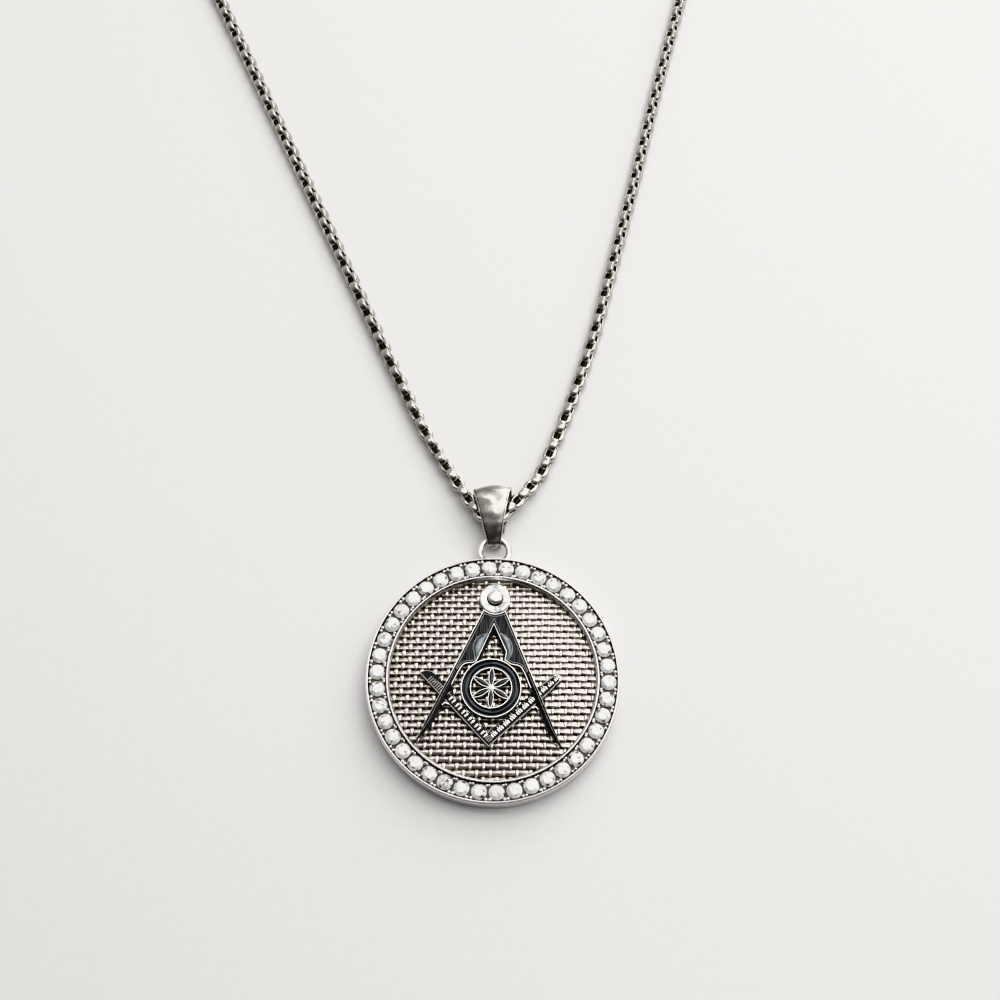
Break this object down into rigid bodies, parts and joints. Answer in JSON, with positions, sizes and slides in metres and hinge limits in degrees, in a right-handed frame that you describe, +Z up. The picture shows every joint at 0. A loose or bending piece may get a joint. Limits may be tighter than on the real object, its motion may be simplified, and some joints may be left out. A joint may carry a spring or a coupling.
{
  "type": "masonic pendant necklace",
  "caption": "Round stone-set medallion with a square and compasses on a woven steel panel, on a folded bail and a fine round box chain, lying flat.",
  "frame": {"origin": "centre of the medallion's flat back face", "axes": "+Z up through the medallion's front, +Y from the medallion to the bail and the chain, +X to the right"},
  "size_m": [0.1348, 0.2985, 0.0054],
  "materials": {
    "polished_steel": "polished stainless steel",
    "woven_steel": "bright woven steel wire over a dark backing",
    "emblem_steel": "darkened steel with bright bevelled edges",
    "enamel": "glossy dark enamel",
    "satin_steel": "satin steel",
    "white_stone": "round brilliant cut white stones",
    "chain_steel": "polished stainless steel links"
  },
  "bodies": {
    "root": {"rim_frame": "polished_steel", "mesh_disc": "woven_steel", "square": "emblem_steel", "compasses": "emblem_steel", "head_boss": "satin_steel", "centre_ring": "emblem_steel", "stone_row": "white_stone", "bail": "polished_steel", "chain": "chain_steel", "clasp": "polished_steel"}
  },
  "joints": []
}
